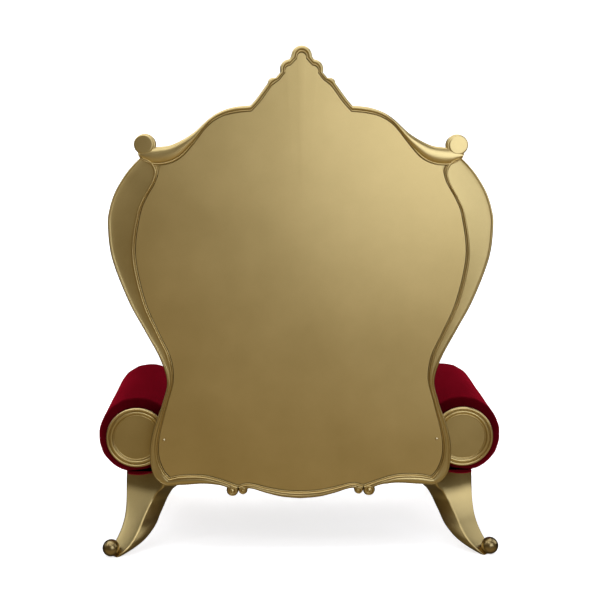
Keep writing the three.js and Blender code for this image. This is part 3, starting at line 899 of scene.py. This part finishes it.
def build_rails():
    """Side rails with a bead along the foot, and the front rail with its bowed apron."""
    y = np.linspace(RAIL_LOW.y, RAIL_HIGH.y, 12)[:, None]
    out, up = rail_section(np.full(y.shape, RAIL_LOW.z), RAIL_HIGH.z, RAIL_HIGH.x, RAIL_LOW.x)
    rail = skin(np.stack(np.broadcast_arrays(out, y, up), axis=-1), shade=0.6)
    for side, flip in SIDES:
        piece(f"side_rail_{side}", [flip(rail)], GOLD, [f"rail_{side}"])

    x = np.linspace(FRONT_RAIL_LOW.x, FRONT_RAIL_HIGH.x, 160)[:, None]
    bow = np.minimum(bow_outer[:, 1] - bow_outer[-1, 1], 0)
    apron = np.interp(np.abs(x), bow_outer[:, 0], bow, right=0)
    foot = RAIL_LOW.z + apron * (FRONT_RAIL_LOW.z - RAIL_LOW.z) / apron.min()
    thickness = FRONT_RAIL_HIGH.y - FRONT_RAIL_LOW.y
    out, up = rail_section(foot, FRONT_RAIL_HIGH.z, thickness, 0.0)
    grid = np.stack(np.broadcast_arrays(x, FRONT_RAIL_HIGH.y - out, up), axis=-1)
    piece("front_rail_apron", [skin(grid, shade=0.6)], GOLD, ["rail_front"])
    for node, material in (("rail_back", GOLD), ("seat_deck", BOARD)):
        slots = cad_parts[node].data.materials
        slots.clear()
        slots.append(material)


# ---------------------------------------------------------------- upholstery

CLOTH_FRAMES = 20
WELT_RADIUS = 0.0032


def simulated(name, grid, voxel, pressure, cap, settle):
    """Cover over a grid: remeshed evenly, then swollen by cloth pressure without gravity. No point
    moves further than the cap."""
    cover = shown(name, mesh_of(name, [skin(grid)]))
    remesh = cover.modifiers.new("even", "REMESH")
    remesh.mode = "VOXEL"
    remesh.voxel_size = voxel * 1
    freeze(cover)
    swell(cover, pressure, cap, settle)
    return cover


def freeze(cover):
    """Apply the object's modifiers to its mesh."""
    mesh = bpy.data.meshes.new_from_object(as_seen(cover))
    cover.modifiers.clear()
    cover.data = mesh


def as_seen(cover):
    """The cover with its modifiers at work."""
    return cover.evaluated_get(bpy.context.evaluated_depsgraph_get())


def points_of(cover):
    """The cover's points, one row each."""
    flat = np.empty(len(cover.data.vertices) * 3)
    cover.data.vertices.foreach_get("co", flat)
    return flat.reshape(-1, 3)


def move_points(cover, points):
    """Put the cover's points in new places."""
    cover.data.vertices.foreach_set("co", np.asarray(points, float).ravel())
    cover.data.update()


def swell(cover, pressure, cap, settle):
    """Cloth under inner pressure for a number of frames, each point held within the cap."""
    start = points_of(cover)
    cloth = cover.modifiers.new("cover", "CLOTH")
    cloth.settings.quality = 4
    cloth.settings.mass = 0.3
    cloth.settings.tension_stiffness = 12
    cloth.settings.compression_stiffness = 12
    cloth.settings.bending_stiffness = settle
    cloth.settings.use_pressure = True
    cloth.settings.uniform_pressure_force = pressure
    cloth.settings.effector_weights.gravity = 0
    scene = bpy.context.scene
    for step in range(1, CLOTH_FRAMES + 1):
        scene.frame_set(step)
    offset = points_of(as_seen(cover)) - start
    length = np.linalg.norm(offset, axis=1, keepdims=True)
    cover.modifiers.clear()
    scene.frame_set(1)
    move_points(cover, start + offset * np.minimum(1, cap / np.maximum(length, 1e-9)))


def mirror_copy(cover, name):
    """The same cover on the other side of the throne."""
    twin = cover.copy()
    twin.data = cover.data.copy()
    twin.name = name
    bpy.context.scene.collection.objects.link(twin)
    twin.data.transform(Matrix.Scale(-1, 4, Vector((1, 0, 0))))
    twin.data.flip_normals()
    return twin


def finish_soft(cover, node):
    """Smooth shading, one subdivision and velvet; the cover is then hung on the root body and the
    imported part that it replaces is hidden.
    """
    cover.data.shade_smooth()
    cover.data.materials.clear()
    cover.data.materials.append(VELVET)
    round_ = cover.modifiers.new("round", "SUBSURF")
    round_.levels = round_.render_levels = 1
    freeze(cover)
    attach(cover, "root")
    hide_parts(node)


def dress_roll(cover):
    """Soft gathers where the cover is drawn in round the discs: ripples in the angle about the
    roll's axis that die out along it, and faint waves over its length. The ends stay flat behind
    the discs and bulge by a few millimetres round them."""
    points = points_of(cover)
    offset = points - ROLL_REAR
    along = offset @ ARM_AXIS
    radial = offset - along[:, None] * ARM_AXIS
    reach = np.linalg.norm(radial, axis=1)
    side = np.cross(ARM_AXIS, (0, 0, 1))
    up = np.cross(side, ARM_AXIS)
    angle = np.arctan2(radial @ up, radial @ side)
    near_end = np.exp(-np.minimum(along, ROLL_LENGTH - along) / 0.05)
    gathers = np.sin(11 * angle + 1.3 * np.sin(3 * angle)) + 0.6 * np.sin(19 * angle + 2.1)
    waves = np.sin(along * 21 + 2 * np.sin(2 * angle)) * np.sin(2 * angle + 0.6)
    slack = 0.0011 * near_end * gathers + 0.0009 * waves
    shell = np.clip(reach / ROLL_RADIUS, 0, 1) ** 4
    points = points + radial / np.maximum(reach, 1e-6)[:, None] * (slack * shell)[:, None]
    bulge = 0.005 * smooth_step(reach, DISC_RADIUS, DISC_RADIUS + 0.02)
    points += (np.clip(along, -bulge, ROLL_LENGTH + bulge) - along)[:, None] * ARM_AXIS
    move_points(cover, points)


def build_upholstery():
    """The crowned back pad and the loose box cushion."""
    pad = simulated("back_pad_cover", pad_grid(), voxel=0.0108, pressure=4.0, cap=0.012, settle=0.5)
    finish_soft(pad, "back_cushion")
    cushion = simulated(
        "seat_cushion_cover", cushion_grid(), voxel=0.0095, pressure=4.0, cap=0.012, settle=0.5,
    )
    finish_soft(cushion, "seat_cushion")
    welts(cushion)


def pad_grid():
    """Pad of the back: rings of its outline, straight through the frame, then shrinking towards
    the middle as they swell towards the sitter. The swell fades out low down."""
    scales = np.concatenate([[0.975, 0.992, 0.992, 0.992], 1 - np.linspace(0.03, 0.97, 22) ** 1.6])
    plan = BACK_MIDDLE + (PAD_OUTLINE - BACK_MIDDLE) * scales[:, None, None]
    lift = smooth_step(plan[..., 1], 0.02, 0.26)
    depth = RIM_DEPTH + 0.003 + (PAD_CROWN - 0.006) * (1 - scales[:, None] ** 2.5) * lift
    depth[:4] = np.array([RECESS_DEPTH + 0.002, RECESS_DEPTH + 0.010, 0.035, RIM_DEPTH - 0.002])[:, None]
    return on_back(plan[..., 0], plan[..., 1], depth)


def cushion_grid():
    """Box cushion: superellipse rings, bowed at the sides, with rounded borders and a crowned
    top."""
    angle = np.linspace(0, 2 * np.pi, 160, endpoint=False)
    x, y = (np.sign(way) * np.abs(way) ** 0.22 for way in (np.cos(angle), np.sin(angle)))
    depth = CUSHION_HIGH.y - CUSHION_LOW.y
    stages = [
        (0.30, 0.0), (0.6, 0.0), (0.9, 0.0), (0.965, 0.02), (0.985, 0.10), (0.99, 0.25), (0.99, 0.45),
        (0.99, 0.6), (0.985, 0.72), (0.965, 0.80), (0.90, 0.86), (0.75, 0.91), (0.5, 0.945), (0.25, 0.955),
    ]
    scale, rise = spline(stages, 40).T[..., None]
    place_y = (CUSHION_LOW.y + CUSHION_HIGH.y) / 2 + (depth / 2 - 0.008) * scale * y
    half_width = 0.402 + 0.018 * (CUSHION_HIGH.y - place_y) / depth
    up = CUSHION_LOW.z + (CUSHION_HIGH.z - CUSHION_LOW.z) * rise
    return np.stack(np.broadcast_arrays(half_width * scale * x, place_y, up), axis=-1)


def welts(cushion):
    """Piping round the cushion's two borders: a thin tube laid on the swollen cover, a hair clear
    of it."""
    tree = BVHTree.FromObject(cushion, bpy.context.evaluated_depsgraph_get())
    grid = cushion_grid()
    shells = []
    for border in (10, 28):
        hits = (tree.find_nearest(Vector(point))[:2] for point in grid[border])
        shells.append(tube(np.array([place + normal * 0.0005 for place, normal in hits]), WELT_RADIUS))
    piece("seat_cushion_welts", shells, VELVET, crease=None)


def tube(path, radius, sides=10):
    """Round tube along a closed path: circles in the plane square to the path's direction."""
    ahead = np.roll(path, -1, axis=0) - np.roll(path, 1, axis=0)
    ahead /= np.linalg.norm(ahead, axis=1, keepdims=True)
    side = np.cross(ahead, (0, 0, 1))
    side /= np.linalg.norm(side, axis=1, keepdims=True)
    up = np.cross(side, ahead)
    angle = np.linspace(0, 2 * np.pi, sides, endpoint=False)
    grid = path[:, None] + radius * (
        np.cos(angle)[None, :, None] * side[:, None] + np.sin(angle)[None, :, None] * up[:, None]
    )
    return skin(grid, wrap_rows=True)


# ---------------------------------------------------------------- studio


# Area lights: name, place, point aimed at, width and height, watts and colour
DAYLIGHT = (0.95, 1.0, 1.12)
LIGHTS = [
    ("wall", (-1.70, SETBACK + 3.95, 1.74), (-1.70, 0, 1.74), (3.1, 2.9), 52, (0.92, 1.02, 1.24)),
    ("sky", (0.7, 3.0, 3.5), (0.1, 0.4, 0.8), (3.0, 1.2), 20, DAYLIGHT),
    ("top", (0.8, 0.0, 3.5), (0.8, 0.0, 0.5), (5.0, 3.2), 82, DAYLIGHT),
    ("flank", (-3.2, 0.1, 2.3), (0.0, 0.1, 1.4), (2.4, 3.0), 28, DAYLIGHT),
    ("side", (3.2, 0.1, 2.2), (0.0, 0.1, 1.4), (2.2, 2.8), 9, (0.97, 1.0, 1.06)),
    ("rim", (3.2, 1.8, 2.7), (0.5, 0.4, 0.9), (0.4, 1.4), 6, (0.97, 1.0, 1.06)),
]
AIR = (1.0, 0.80, 0.49, 1.0)


def build_stage():
    """Pale sweep: a flat floor that turns up into a wall through a quarter circle."""
    back, turn_radius, top = -2.0, 1.5, 5.0
    turn = np.linspace(0, np.pi / 2, 17)[1:]
    floor = np.linspace(6.0, back, 9)
    y = np.concatenate([floor, back - turn_radius * np.sin(turn), np.full(4, back - turn_radius)])
    z = np.concatenate([0 * floor, turn_radius - turn_radius * np.cos(turn), np.linspace(1.8, top, 4)])
    x = np.linspace(-7, 7, 9)
    grid = np.stack(np.broadcast_arrays(x, y[:, None], z[:, None]), axis=-1)
    index = np.arange(grid[..., 0].size).reshape(grid.shape[:2])
    quads = np.stack([index[:-1, 1:], index[1:, 1:], index[1:, :-1], index[:-1, :-1]], axis=-1)
    mesh = bpy.data.meshes.new("studio_sweep")
    mesh.from_pydata(grid.reshape(-1, 3).tolist(), [], quads.reshape(-1, 4).tolist())
    mesh.shade_smooth()
    paint = Paint(
        "sweep_white", Base_Color=(0.9, 0.9, 0.9, 1), Roughness=0.9,
        Emission_Color=(1, 1, 1, 1), Emission_Strength=0.70,
    )
    mesh.materials.append(paint.material)
    sweep = shown("studio_sweep", mesh)
    sweep.visible_glossy = False


def softbox(name, place, aim, size, power, colour):
    """Rectangular area light turned towards a point."""
    light = bpy.data.lights.new(name, "AREA")
    light.shape = "RECTANGLE"
    light.size, light.size_y = size
    light.energy = power
    light.color = colour
    turn = (Vector(aim) - Vector(place)).to_track_quat("-Z", "Y")
    shown(name, light).matrix_world = Matrix.Translation(Vector(place)) @ turn.to_matrix().to_4x4()


def build_lights():
    """A broad soft wall of light at the upper right as seen from behind, a top light, panels at
    both sides, a strip for the far rims, and air whose glow fades towards the sitter's side and
    grows below the horizon."""
    for light in LIGHTS:
        softbox(*light)
    world = bpy.data.worlds.new("studio_air")
    world.use_nodes = True
    air = Nodes(world.node_tree)
    way = air.node("ShaderNodeTexCoord", {}).outputs["Generated"]
    split = air.node("ShaderNodeSeparateXYZ", {}, way).outputs
    behind, below = (
        Wire(air, air.node("ShaderNodeMapRange", {}, split[axis], *ends).outputs[0])
        for axis, ends in (("Y", (-0.12, 0.35, 0.030, 0.155)), ("Z", (-0.14, -0.46, 1.0, 2.4)))
    )
    background = air.tree.nodes["Background"]
    air.join(behind * below, background.inputs["Strength"])
    air.join(AIR, background.inputs["Color"])
    bpy.context.scene.world = world


def build_camera():
    """Behind the throne, a little above its middle, looking slightly down."""
    lens = bpy.data.cameras.new("view")
    lens.lens = FOCAL_LENGTH
    lens.sensor_width = SENSOR_WIDTH
    camera = shown("view", lens)
    camera.location = (
        VIEW_AIM_X + VIEW_DISTANCE * math.sin(VIEW_AZIMUTH),
        SETBACK + VIEW_DISTANCE * math.cos(VIEW_AZIMUTH),
        VIEW_HEIGHT,
    )
    camera.rotation_euler = (math.pi / 2 - VIEW_PITCH, 0, math.pi - VIEW_AZIMUTH)
    bpy.context.scene.camera = camera


bpy.context.scene.view_settings.view_transform = "Standard"
build_camera()
build_lights()
build_stage()
build_back()
build_arms()
build_legs()
build_rails()
build_upholstery()
